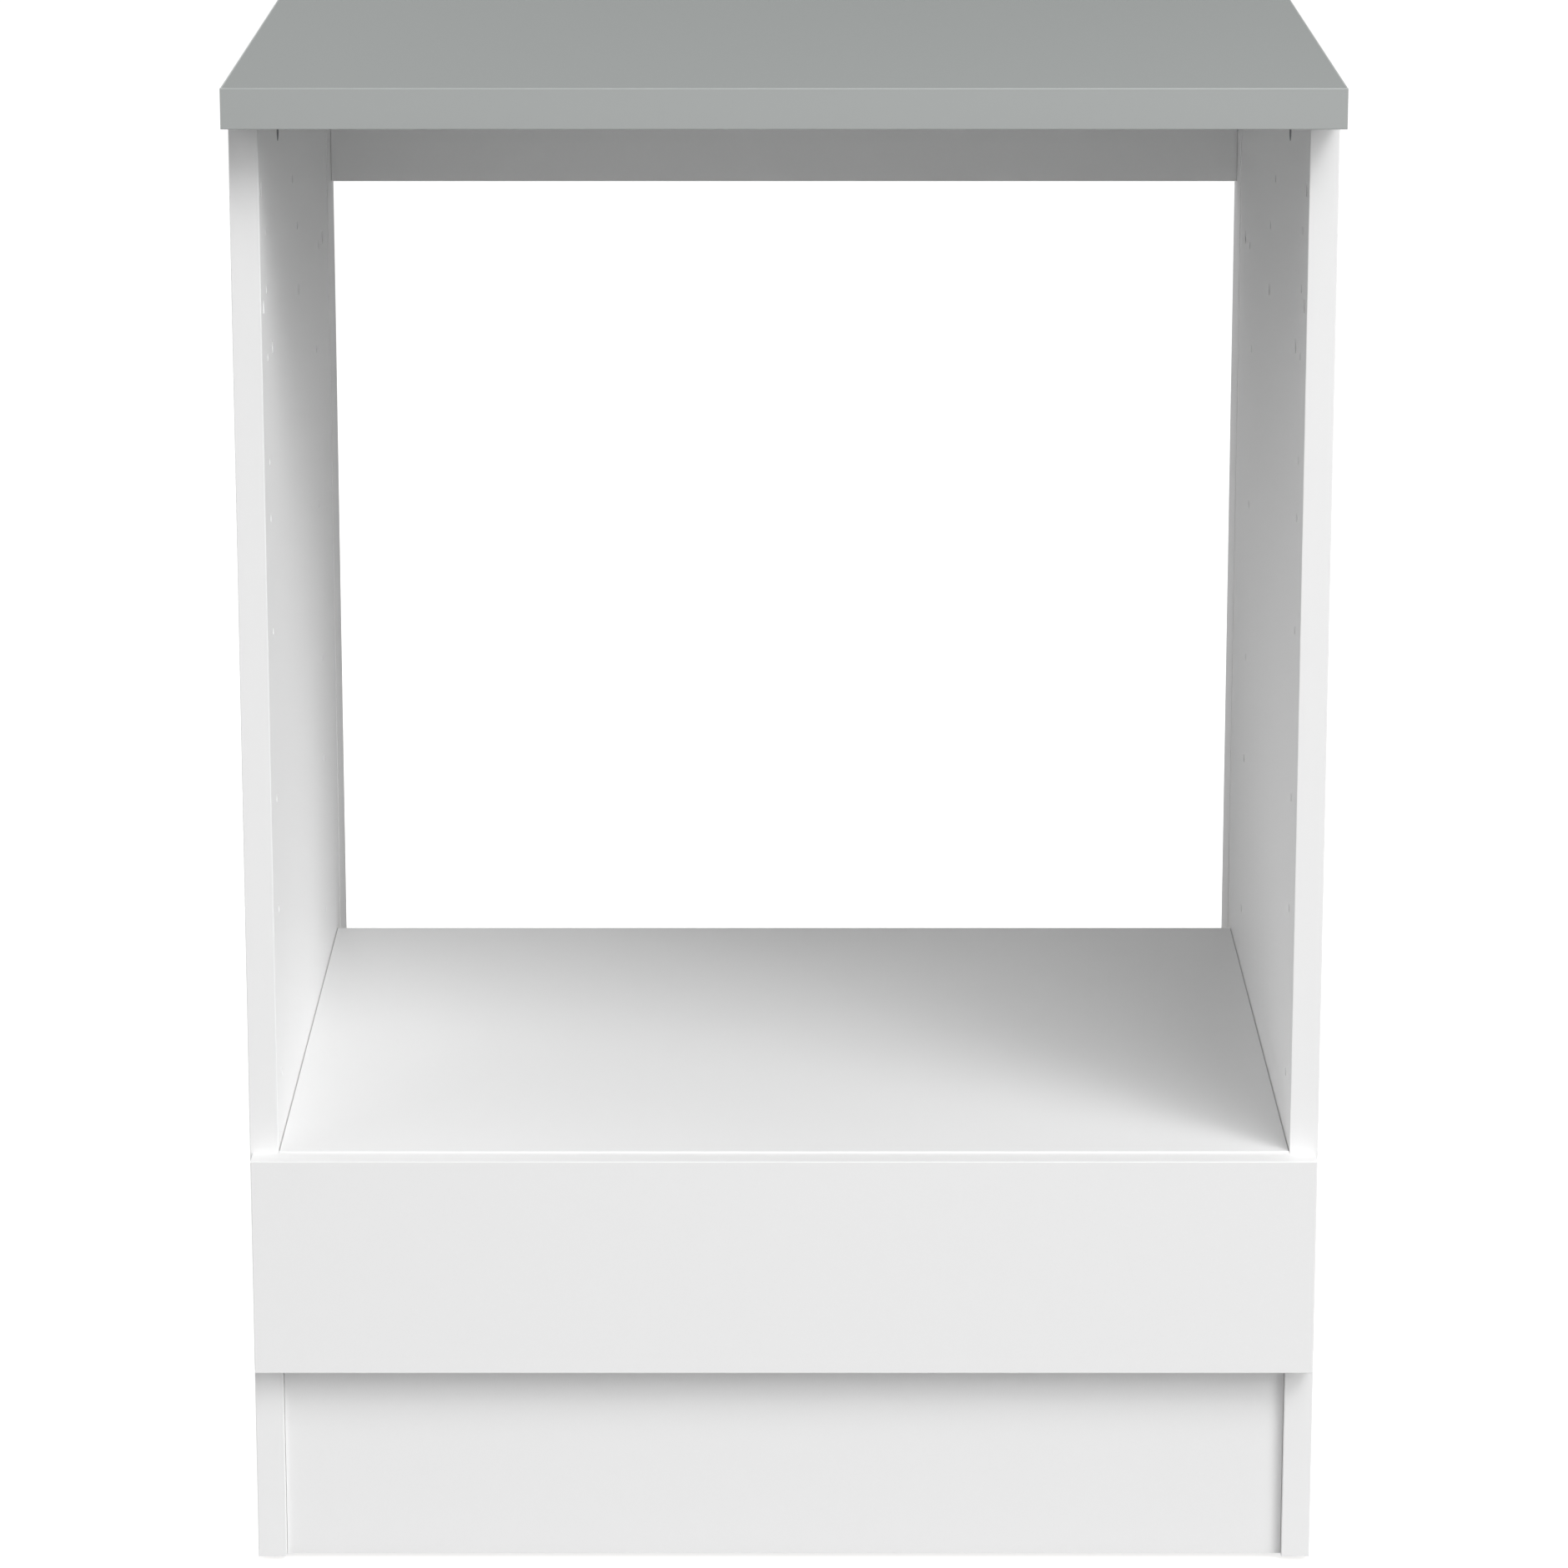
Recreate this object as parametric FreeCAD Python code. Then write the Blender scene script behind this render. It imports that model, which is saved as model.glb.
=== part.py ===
import FreeCAD, Part
import math
import os

from FreeCAD import Vector

# Oven base cabinet: a flat-pack carcass with an open oven niche under a short worktop.
# Millimetres, Z up, front towards -Y, origin on the floor under the middle of the worktop.

# Overall sizes
cabinet_width = 600.0
cabinet_height = 850.0
worktop_depth = 600.0
worktop_thickness = 22.0
worktop_overhang = 44.0
board_thickness = 16.0
joint_gap = 0.2

# Oven shelf, rear rail, front panel and plinth
shelf_height = 245.0
service_gap = 83.0
rail_height = 115.0
rail_inset = 3.0
panel_height = 125.0
panel_side_reveal = 1.5
panel_top_reveal = 1.0
plinth_recess = 5.0
plinth_overlap = 4.0

# Edging strips on the edges that show
edging_thickness = 1.0
edging_radius = 0.6

# Groove for a thin back panel, cut in the inner face of both sides
groove_width = 4.0
groove_depth = 7.0
groove_from_rear = 55.0

# Line drilling of the sides
hole_pitch = 32.0
front_row = 37.0
first_pin_below_top = 67.3
pin_hole_diameter = 5.0
pin_hole_depth = 12.0
front_pin_steps = (0, 1, 4, 5, 7, 10, 12, 15)
rear_pin_steps = (4, 7, 10, 12, 15)
runner_holes = ((7, 1), (6, 0))
spare_shelf_below_top = 137.0
front_rail_hole_offset = 16.0
front_rail_holes_below_top = (41.5, 105.5)
shelf_edge_margin = 40.0

# Where the worktop is fixed to the sides, from their front and rear edges
worktop_cam_insets = {"front": 133.0, "rear": 135.0}
worktop_dowel_insets = {"front": 69.0, "rear": 103.0}

# Cam connectors: a bolt screwed in one board, gripped by a cam let into the other
cam_bore_diameter = 15.0
cam_clearance = 0.1
cam_distance = 24.0
cam_floor_gap = 1.0
cam_end_gap = 0.3
cam_cavity_radius = 4.9
cam_eccentricity = 0.6
cam_cross_length = 7.0
cam_cross_width = 1.4
cam_cross_depth = 1.8
cam_arrow_length = 2.2
cam_arrow_depth = 0.5
edge_bore_diameter = 8.0
bolt_thread_length = 11.0
bolt_tip_length = 1.5
bolt_collar_diameter = 6.8
bolt_collar_length = 1.2
bolt_neck_diameter = 4.2
bolt_head_diameter = 7.0
bolt_head_length = 3.1
bolt_head_tip = 0.2
bolt_gap = 0.3
fastener_clearance = 0.1

# Wooden dowels
dowel_hole_diameter = 8.0
dowel_in_face = 10.0
dowel_in_edge = 20.0
dowel_chamfer = 1.0
dowel_end_gap = 0.5
end_dowel_spacing = 32.0

# Nailed floor glides
glide_height = 3.0
glide_edge_margin = 1.0
glide_bevel = 1.2
glide_inset = 40.0
glide_nail_diameter = 2.4
glide_nail_length = 16.0
glide_nail_tip = 3.0

# Derived places
half_width = cabinet_width / 2
inner_x = half_width - board_thickness
middle_x = half_width - board_thickness / 2
between_x = inner_x - joint_gap
rear_y = worktop_depth / 2
worktop_front_y = -worktop_depth / 2
carcass_front_y = worktop_front_y + worktop_overhang
side_depth = rear_y - carcass_front_y
side_bottom_z = glide_height
side_top_z = cabinet_height - worktop_thickness
shelf_depth = side_depth - service_gap
shelf_rear_y = carcass_front_y + shelf_depth
shelf_bottom_z = shelf_height - board_thickness
shelf_middle_z = shelf_height - board_thickness / 2
rail_rear_y = rear_y - rail_inset
rail_front_y = rail_rear_y - board_thickness
rail_bottom_z = side_top_z - rail_height
panel_front_y = carcass_front_y - board_thickness
panel_half_width = half_width - panel_side_reveal
panel_top_z = shelf_height - panel_top_reveal
panel_bottom_z = panel_top_z - panel_height
plinth_front_y = carcass_front_y + plinth_recess
plinth_rear_y = plinth_front_y + board_thickness
plinth_top_z = panel_bottom_z + plinth_overlap

# Columns of the line drilling, counted in pitches behind the front row
rear_bolt_column = math.floor((shelf_depth - front_row - shelf_edge_margin) / hole_pitch)
shelf_bolt_columns = (0, rear_bolt_column)
shelf_dowel_columns = (1, (rear_bolt_column + 2) // 2, rear_bolt_column + 1)
rear_pin_column = rear_bolt_column - 1

cam_radius = cam_bore_diameter / 2 - cam_clearance
cam_bore_depth = board_thickness / 2 + bolt_head_diameter / 2 + cam_floor_gap
cam_height = cam_bore_depth - cam_end_gap
bolt_radius = pin_hole_diameter / 2 - fastener_clearance
dowel_radius = dowel_hole_diameter / 2 - fastener_clearance

SIDES = {"left": -1, "right": 1}
DOWN = Vector(0, 0, -1)
UP = Vector(0, 0, 1)
BACK = Vector(0, 1, 0)
FRONT = Vector(0, -1, 0)

# Material that drilling takes out of each board, and the fasteners that fill it
cuts = {}
fasteners = {}


def box(low, high):
    """A board between two opposite corners."""
    size = Vector(*high) - Vector(*low)
    return Part.makeBox(size.x, size.y, size.z, Vector(*low))


def drill(board, mouth, direction, diameter, depth):
    """Take a round flat-bottomed hole out of a board."""
    tool = Part.makeCylinder(diameter / 2, depth, mouth, direction)
    cuts.setdefault(board, []).append(tool)


def drilled(name, solid):
    """The board with every hole and groove that was asked of it."""
    tools = cuts.get(name, [])
    return solid.cut(tools) if tools else solid


def turned(profile, point, direction):
    """A turned piece from (radius, distance along the axis) points, standing at a point."""
    outline = Part.makePolygon([Vector(radius, 0, along) for radius, along in profile + profile[:1]])
    solid = Part.Face(outline).revolve(Vector(0, 0, 0), UP, 360)
    solid.Placement = FreeCAD.Placement(point, FreeCAD.Rotation(UP, direction))
    return solid


def edging_strip(low, high, outward):
    """A strip of edging whose two long outer edges are rounded over."""
    strip = box(low, high)
    longest = max(edge.Length for edge in strip.Edges)
    middle = strip.CenterOfMass
    outer_edges = []
    for edge in strip.Edges:
        if edge.Length > longest - edging_radius and (edge.CenterOfMass - middle).dot(outward) > 0:
            outer_edges.append(edge)
    return strip.makeFillet(min(edging_radius, edging_thickness / 2), outer_edges)


def column_y(column):
    """Where a column of the line drilling lies."""
    return carcass_front_y + front_row + column * hole_pitch


def inset_y(end, inset):
    """A distance in from the front or rear edge of the sides."""
    return carcass_front_y + inset if end == "front" else rear_y - inset


def inward(sign):
    """From the side panel of this sign towards the middle of the cabinet."""
    return Vector(-sign, 0, 0)


def cam_shape():
    """A cam standing in its bore, axis Z, mouth at Z 0, gripping a bolt that leaves along +X."""
    bolt_z = -board_thickness / 2
    reach = 2 * cam_radius
    body = Part.makeCylinder(cam_radius, cam_height, Vector(0, 0, -cam_height))

    # The hollow that the bolt's head lies in is off centre, so that turning the cam draws the head in.
    head_room = bolt_head_diameter / 2 + bolt_gap
    cavity_top = bolt_z + head_room
    cavity_centre = Vector(-cam_eccentricity, 0, -cam_bore_depth)
    cavity = Part.makeCylinder(cam_cavity_radius, cam_bore_depth + cavity_top, cavity_centre)

    # The neck's slot runs half a turn round the rim, from the locked place to the open one.
    slot_half = bolt_neck_diameter / 2 + bolt_gap
    sweep = Part.makeCylinder(reach, 2 * slot_half, Vector(0, 0, bolt_z - slot_half), UP, 180)
    sweep.rotate(Vector(0, 0, 0), UP, 180)
    ends = box((-reach, -slot_half, bolt_z - slot_half), (reach, slot_half, bolt_z + slot_half))

    # The head drops in through a wider mouth opposite the locked place.
    mouth = box((-reach, -head_room, -cam_bore_depth), (0, head_room, cavity_top))

    # A cross for the screwdriver, and an arrow that points at the mouth.
    half_length = cam_cross_length / 2
    half_cross = cam_cross_width / 2
    cross_x = box((-half_length, -half_cross, -cam_cross_depth), (half_length, half_cross, cam_cross_depth))
    cross_y = box((-half_cross, -half_length, -cam_cross_depth), (half_cross, half_length, cam_cross_depth))
    arrow_tip = -cam_radius + cam_arrow_length / 4
    arrow_base = arrow_tip + cam_arrow_length
    arrow_half = cam_arrow_length / 2
    arrow_points = [
        Vector(arrow_tip, 0, 0),
        Vector(arrow_base, arrow_half, 0),
        Vector(arrow_base, -arrow_half, 0),
        Vector(arrow_tip, 0, 0),
    ]
    arrow = Part.Face(Part.makePolygon(arrow_points)).extrude(DOWN * cam_arrow_depth)
    return body.cut([cavity, sweep, ends, mouth, cross_x, cross_y, arrow]).removeSplitter()


def bolt_profile():
    """Outline of a connecting bolt, from its tip in one board to its head in the cam."""
    neck = bolt_neck_diameter / 2
    collar = bolt_collar_diameter / 2
    head = bolt_head_diameter / 2
    head_end = cam_distance - bolt_head_tip
    head_start = head_end - bolt_head_length
    shoulder = head_start + head - neck
    return [
        (0, -bolt_thread_length),
        (bolt_radius / 2, -bolt_thread_length),
        (bolt_radius, bolt_tip_length - bolt_thread_length),
        (bolt_radius, 0),
        (collar, 0),
        (collar, bolt_collar_length),
        (neck, bolt_collar_length),
        (neck, head_start),
        (head, shoulder),
        (head, head_end - bolt_collar_length / 2),
        (head - bolt_collar_length / 2, head_end),
        (0, head_end),
    ]


def dowel_profile():
    """Outline of a dowel with chamfered ends, zero at the joint between the two boards."""
    tip = dowel_radius - dowel_chamfer
    return [
        (0, -dowel_in_face),
        (tip, -dowel_in_face),
        (dowel_radius, dowel_chamfer - dowel_in_face),
        (dowel_radius, dowel_in_edge - dowel_chamfer),
        (tip, dowel_in_edge),
        (0, dowel_in_edge),
    ]


def connect(point, into, outward, bolt_board, cam_boards, bolts, cams):
    """Bolt two boards together at a point of their joint, with the cam let in from one face."""
    drill(bolt_board, point, -into, pin_hole_diameter, bolt_thread_length + dowel_end_gap)
    centre = point + into * cam_distance + outward * (board_thickness / 2)
    for board in cam_boards:
        drill(board, point, into, edge_bore_diameter, cam_distance)
    drill(cam_boards[0], centre, -outward, cam_bore_diameter, cam_bore_depth)
    fasteners.setdefault(bolts, []).append(turned(bolt_profile(), point, into))
    cam = cam_shape()
    cam.Placement = FreeCAD.Placement(centre, FreeCAD.Rotation(-into, Vector(), outward, "ZXY"))
    fasteners.setdefault(cams, []).append(cam)


def add_dowel(point, into, face_board, edge_boards, group):
    """A dowel across a joint, short end in a board's face and long end in the other board's edge."""
    drill(face_board, point, -into, dowel_hole_diameter, dowel_in_face + dowel_end_gap)
    for board in edge_boards:
        drill(board, point, into, dowel_hole_diameter, dowel_in_edge + dowel_end_gap)
    fasteners.setdefault(group, []).append(turned(dowel_profile(), point, into))


def join_worktop(side, sign):
    """Cams in the side, bolts and dowels standing up into the worktop."""
    panel = side + "_side_panel"
    for end, inset in worktop_cam_insets.items():
        point = Vector(sign * middle_x, inset_y(end, inset), side_top_z)
        cam_node = "worktop_cam_" + end + "_" + side
        connect(point, DOWN, inward(sign), "worktop", [panel], "worktop_cam_bolts", cam_node)
    for end, inset in worktop_dowel_insets.items():
        point = Vector(sign * middle_x, inset_y(end, inset), side_top_z)
        add_dowel(point, DOWN, "worktop", [panel], "worktop_dowels")


def join_shelf(side, sign):
    """Cams in the underside of the oven shelf, bolts and dowels in the side."""
    panel = side + "_side_panel"
    for column in shelf_bolt_columns:
        point = Vector(sign * inner_x, column_y(column), shelf_middle_z)
        connect(point, inward(sign), DOWN, panel, ["oven_shelf"], "shelf_cam_bolts", "shelf_cams")
    for column in shelf_dowel_columns:
        point = Vector(sign * inner_x, column_y(column), shelf_middle_z)
        add_dowel(point, inward(sign), panel, ["oven_shelf"], "shelf_dowels")


def join_upright(side, sign, board, prefix, middle_y, bottom_z, top_z):
    """One cam in the back of an upright board between two dowels, at its end on this side."""
    panel = side + "_side_panel"
    middle_z = (bottom_z + top_z) / 2
    point = Vector(sign * inner_x, middle_y, middle_z)
    connect(point, inward(sign), BACK, panel, [board], prefix + "_cam_bolts", prefix + "_cams")
    for offset in (-end_dowel_spacing, end_dowel_spacing):
        add_dowel(point + UP * offset, inward(sign), panel, [board], prefix + "_dowels")


def join_panel(side, sign):
    """Cams in the side, bolts in the back of the front panel, and a dowel between them."""
    boards = [side + "_side_panel", side + "_side_edging"]
    clear_height = shelf_bottom_z - panel_bottom_z
    for quarter in (1, 3):
        point = Vector(sign * middle_x, carcass_front_y, panel_bottom_z + clear_height * quarter / 4)
        connect(point, BACK, inward(sign), "front_panel", boards, "panel_cam_bolts", "panel_cams")
    point = Vector(sign * middle_x, carcass_front_y, panel_bottom_z + clear_height / 2)
    add_dowel(point, BACK, "front_panel", boards, "panel_dowels")


def pin_z(step):
    """Height of a row of the line drilling."""
    return side_top_z - first_pin_below_top - step * hole_pitch


def drill_pins(side, sign):
    """Holes for shelf pins and runners, and the unused holes for another shelf and front rails."""
    panel = side + "_side_panel"
    outward = Vector(sign, 0, 0)
    places = [(0, step) for step in front_pin_steps]
    places += [(rear_pin_column, step) for step in rear_pin_steps]
    places += runner_holes
    for column, step in places:
        if pin_z(step) > shelf_height + pin_hole_diameter:
            mouth = Vector(sign * inner_x, column_y(column), pin_z(step))
            drill(panel, mouth, outward, pin_hole_diameter, pin_hole_depth)
    spare_z = side_top_z - spare_shelf_below_top
    for column in shelf_bolt_columns:
        mouth = Vector(sign * inner_x, column_y(column), spare_z)
        drill(panel, mouth, outward, pin_hole_diameter, pin_hole_depth)
    for column in shelf_dowel_columns:
        mouth = Vector(sign * inner_x, column_y(column), spare_z)
        drill(panel, mouth, outward, dowel_hole_diameter, pin_hole_depth)
    for below_top in front_rail_holes_below_top:
        mouth = Vector(sign * inner_x, carcass_front_y + front_rail_hole_offset, side_top_z - below_top)
        drill(panel, mouth, outward, dowel_hole_diameter, pin_hole_depth)


def cut_groove(side, sign):
    """The groove for a thin back panel, open at the top and bottom edges of the side."""
    middle_y = rear_y - groove_from_rear
    xs = sorted((sign * inner_x, sign * (inner_x + groove_depth)))
    low = (xs[0], middle_y - groove_width / 2, side_bottom_z)
    high = (xs[1], middle_y + groove_width / 2, side_top_z)
    cuts.setdefault(side + "_side_panel", []).append(box(low, high))


def add_glides(side, sign):
    """Two nailed glides under the side panel."""
    panel = side + "_side_panel"
    glide_radius = board_thickness / 2 - glide_edge_margin
    nail_radius = glide_nail_diameter / 2
    nail_end = glide_height + glide_nail_length
    profile = [
        (0, 0),
        (glide_radius - glide_bevel, 0),
        (glide_radius, glide_bevel),
        (glide_radius, glide_height),
        (nail_radius, glide_height),
        (nail_radius, nail_end - glide_nail_tip),
        (0, nail_end),
    ]
    hole_diameter = glide_nail_diameter + 2 * fastener_clearance
    for end in ("front", "rear"):
        foot = Vector(sign * middle_x, inset_y(end, glide_inset), 0)
        drill(panel, foot + UP * glide_height, UP, hole_diameter, glide_nail_length + dowel_end_gap)
        fasteners.setdefault("floor_glides", []).append(turned(profile, foot, UP))


def make_side(side, sign):
    """A side panel down to its glides, and the strip on its front edge."""
    panel_xs = sorted((sign * inner_x, sign * half_width))
    strip_rear_y = carcass_front_y + edging_thickness
    panel = box((panel_xs[0], strip_rear_y, side_bottom_z), (panel_xs[1], rear_y, side_top_z))
    strip_low = (panel_xs[0], carcass_front_y, side_bottom_z)
    strip = edging_strip(strip_low, (panel_xs[1], strip_rear_y, side_top_z), FRONT)
    return {side + "_side_panel": panel, side + "_side_edging": strip}


def make_worktop():
    """The worktop board, edged at the front and at both ends."""
    board_x = half_width - edging_thickness
    board_front_y = worktop_front_y + edging_thickness
    pieces = {}
    pieces["worktop"] = box((-board_x, board_front_y, side_top_z), (board_x, rear_y, cabinet_height))
    front_low = (-half_width, worktop_front_y, side_top_z)
    front_high = (half_width, board_front_y, cabinet_height)
    pieces["worktop_front_edging"] = edging_strip(front_low, front_high, FRONT)
    for side, sign in SIDES.items():
        strip_xs = sorted((sign * board_x, sign * half_width))
        low = (strip_xs[0], board_front_y, side_top_z)
        high = (strip_xs[1], rear_y, cabinet_height)
        pieces["worktop_" + side + "_edging"] = edging_strip(low, high, Vector(sign, 0, 0))
    return pieces


def make_shelf():
    """The oven shelf between the sides, edged at the front."""
    board_front_y = carcass_front_y + edging_thickness
    board = box((-between_x, board_front_y, shelf_bottom_z), (between_x, shelf_rear_y, shelf_height))
    strip_low = (-between_x, carcass_front_y, shelf_bottom_z)
    strip = edging_strip(strip_low, (between_x, board_front_y, shelf_height), FRONT)
    return {"oven_shelf": board, "shelf_edging": strip}


def make_rail():
    """The upright rail that ties the sides at the top of the back, edged along its lower edge."""
    board_bottom_z = rail_bottom_z + edging_thickness
    board = box((-between_x, rail_front_y, board_bottom_z), (between_x, rail_rear_y, side_top_z))
    strip_high = (between_x, rail_rear_y, board_bottom_z)
    strip = edging_strip((-between_x, rail_front_y, rail_bottom_z), strip_high, DOWN)
    return {"rear_rail": board, "rail_edging": strip}


def make_panel():
    """The fixed front panel below the niche, edged all round."""
    board_x = panel_half_width - edging_thickness
    board_bottom_z = panel_bottom_z + edging_thickness
    board_top_z = panel_top_z - edging_thickness
    pieces = {}
    board_low = (-board_x, panel_front_y, board_bottom_z)
    pieces["front_panel"] = box(board_low, (board_x, carcass_front_y, board_top_z))
    top_low = (-panel_half_width, panel_front_y, board_top_z)
    top_high = (panel_half_width, carcass_front_y, panel_top_z)
    pieces["panel_top_edging"] = edging_strip(top_low, top_high, UP)
    bottom_low = (-panel_half_width, panel_front_y, panel_bottom_z)
    bottom_high = (panel_half_width, carcass_front_y, board_bottom_z)
    pieces["panel_bottom_edging"] = edging_strip(bottom_low, bottom_high, DOWN)
    for side, sign in SIDES.items():
        strip_xs = sorted((sign * board_x, sign * panel_half_width))
        low = (strip_xs[0], panel_front_y, board_bottom_z)
        high = (strip_xs[1], carcass_front_y, board_top_z)
        pieces["panel_" + side + "_edging"] = edging_strip(low, high, Vector(sign, 0, 0))
    return pieces


def make_plinth():
    """The plinth board, set back between the sides."""
    low = (-between_x, plinth_front_y, side_bottom_z)
    return {"plinth_board": box(low, (between_x, plinth_rear_y, plinth_top_z))}


boards = {}
boards.update(make_worktop())
boards.update(make_shelf())
boards.update(make_rail())
boards.update(make_panel())
boards.update(make_plinth())

for side, sign in SIDES.items():
    boards.update(make_side(side, sign))
    join_worktop(side, sign)
    join_shelf(side, sign)
    rail_middle_y = (rail_front_y + rail_rear_y) / 2
    join_upright(side, sign, "rear_rail", "rail", rail_middle_y, rail_bottom_z, side_top_z)
    plinth_middle_y = (plinth_front_y + plinth_rear_y) / 2
    join_upright(side, sign, "plinth_board", "plinth", plinth_middle_y, side_bottom_z, plinth_top_z)
    join_panel(side, sign)
    drill_pins(side, sign)
    cut_groove(side, sign)
    add_glides(side, sign)

os.makedirs("parts", exist_ok=True)
for name, board in boards.items():
    drilled(name, board).exportStep("parts/" + name + ".step")
for name, pieces in fasteners.items():
    shape = pieces[0] if len(pieces) == 1 else Part.makeCompound(pieces)
    shape.exportStep("parts/" + name + ".step")
niche_height = side_top_z - shelf_height
print("niche", 2 * inner_x, "wide,", niche_height, "high,", shelf_depth, "mm deep shelf")
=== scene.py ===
# %% [markdown]
# # An oven base cabinet, finished in Blender
# The cabinet comes in already built: every board, strip of edging and fastener is a measured solid.
# In this lesson we leave those solids where they are and give each one the surface that the real
# thing has. We also model the few small pieces whose shape only a mesh can show, and set up a white
# studio round it all.

# %% Load the cabinet
import math

import bpy
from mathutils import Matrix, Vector


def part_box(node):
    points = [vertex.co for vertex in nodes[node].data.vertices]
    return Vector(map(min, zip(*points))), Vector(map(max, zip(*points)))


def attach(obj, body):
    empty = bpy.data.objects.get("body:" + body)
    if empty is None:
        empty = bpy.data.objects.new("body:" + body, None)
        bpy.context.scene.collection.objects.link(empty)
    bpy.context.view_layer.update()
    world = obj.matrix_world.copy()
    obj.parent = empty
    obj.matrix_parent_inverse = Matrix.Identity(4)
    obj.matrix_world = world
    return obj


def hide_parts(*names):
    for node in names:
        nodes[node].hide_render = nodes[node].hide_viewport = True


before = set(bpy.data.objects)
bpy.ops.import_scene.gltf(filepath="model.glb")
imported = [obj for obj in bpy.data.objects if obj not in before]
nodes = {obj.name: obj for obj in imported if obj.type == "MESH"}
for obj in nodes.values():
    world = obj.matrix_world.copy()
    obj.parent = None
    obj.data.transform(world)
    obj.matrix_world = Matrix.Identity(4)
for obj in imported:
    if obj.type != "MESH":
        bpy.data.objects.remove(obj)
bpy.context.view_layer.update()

MM = 0.001

# %% [markdown]
# ## Colours and nodes
# Paint and board makers give colours as sRGB hex values, but a shader calculates with linear light.
# One function does that change for every colour here, and one more adds a shader node with its
# settings and links. With these two, each finish below reads like a short recipe.
# A Mix node keeps its sockets for values and for colours under the same names, so they are picked
# by number, and those numbers get names of their own.

# %% Helpers for every finish
MIX_BY, VALUE_A, VALUE_B, COLOUR_A, COLOUR_B = 0, 2, 3, 6, 7
MIXED_VALUE, MIXED_COLOUR = 0, 2


def linear(hex_colour):
    """A colour written as sRGB hex, as linear red, green, blue and alpha."""
    channels = [int(hex_colour[i:i + 2], 16) / 255 for i in (0, 2, 4)]
    curve = [c / 12.92 if c <= 0.04045 else ((c + 0.055) / 1.055) ** 2.4 for c in channels]
    return (*curve, 1.0)


def add(tree, kind, links=None, **settings):
    """Add a shader node, set its properties, then fill or link its inputs by name or number."""
    node = tree.nodes.new(kind)
    for name, value in settings.items():
        setattr(node, name, value)
    for name, value in (links or {}).items():
        if isinstance(value, bpy.types.NodeSocket):
            tree.links.new(value, node.inputs[name])
        else:
            node.inputs[name].default_value = value
    return node


def new_finish(name):
    """A material with only an output and a shader, and the tree to build on."""
    material = bpy.data.materials.new(name)
    material.use_nodes = True
    tree = material.node_tree
    tree.nodes.clear()
    shader = add(tree, "ShaderNodeBsdfPrincipled")
    add(tree, "ShaderNodeOutputMaterial", {"Surface": shader.outputs["BSDF"]})
    return material, tree, shader


def dress(node_name, material):
    """Give a solid its finish."""
    mesh = nodes[node_name].data
    mesh.materials.clear()
    mesh.materials.append(material)


print("white paper in linear light:", [round(c, 3) for c in linear("FFFFFF")])

# %% [markdown]
# ## Chipboard
# All boards are chipboard: flat chips of pale wood, glued and pressed. They show where a board is sawn
# and has no edging, as at the back. A photographed texture would repeat and would need a file of its
# own, so the chips are the cells of a Voronoi texture, and a finer noise is the dust between them.

# %% Chipboard core
CHIP = 1.8 * MM
CHIP_DUST = 0.72 * MM
DUST_SHARE = 0.35
CHIP_TONES = ("CDBFA5", "E2D7C3", "F0EADD")
CHIP_ROUGHNESS = 0.9
CHIP_RELIEF = 0.25 * MM


def chip_core(tree, place):
    """Colour and height of sawn chipboard: flat chips of pale wood with fine dust between them."""
    chips = add(tree, "ShaderNodeTexVoronoi", {"Vector": place, "Scale": 1 / CHIP, "Randomness": 1.0})
    dust = add(tree, "ShaderNodeTexNoise", {"Vector": place, "Scale": 1 / CHIP_DUST, "Detail": 4.0})
    tone = add(tree, "ShaderNodeMix", {
        MIX_BY: DUST_SHARE, VALUE_A: chips.outputs["Color"], VALUE_B: dust.outputs["Fac"]})
    ramp = add(tree, "ShaderNodeValToRGB", {"Fac": tone.outputs[MIXED_VALUE]})
    ramp.color_ramp.elements.new(0.5)
    for element, hex_colour in zip(ramp.color_ramp.elements, CHIP_TONES):
        element.color = linear(hex_colour)
    return ramp.outputs["Color"], chips.outputs["Distance"]


print("chips:", round(CHIP / MM, 1), "mm across")

# %% [markdown]
# ## White melamine
# The chipboard is pressed between two sheets of melamine-soaked paper. The paper gives a satin white
# skin with a fine pearl texture from the press plate, and only on the two broad faces.
# The walls of the holes and of the groove are pure white, whiter than the skin: painted light,
# so that these hollows, which lie in shade, look as bright as the skin.
# We could cut each mesh into faces of three materials, but then a new hole would mean new cuts.
# So one material tells the three apart by place: a point within a twentieth of a millimetre of a broad
# face is skin, a point that near to another face of the board is a sawn edge, and any other is a wall.
# The shelf's skin also has a fine grey line at both ends, where it meets the sides: painted
# shade, as in a thin gap between the boards.

# %% Melamine skin
SKIN = 0.05 * MM
# Pure white walls of holes and groove: painted light in hollows that lie in shade.
HOLE_WALL_PAINTED_LIGHT = "FFFFFF"
JOINT_LINE = 0.5 * MM
# Grey of the painted shade line at the shelf's ends, where it meets the sides.
JOINT_SHADE_GREY = "C0C0C0"
MELAMINE_IOR = 1.5
MELAMINE = {"tones": ("F0F0F0", "F3F3F3"), "roughness": 0.42, "shine": 0.5,
            "grain": 0.7 * MM, "relief": 0.004 * MM}
WHITE_BOARDS = ("left_side_panel", "right_side_panel", "oven_shelf", "rear_rail", "front_panel",
                "plinth_board")


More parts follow.
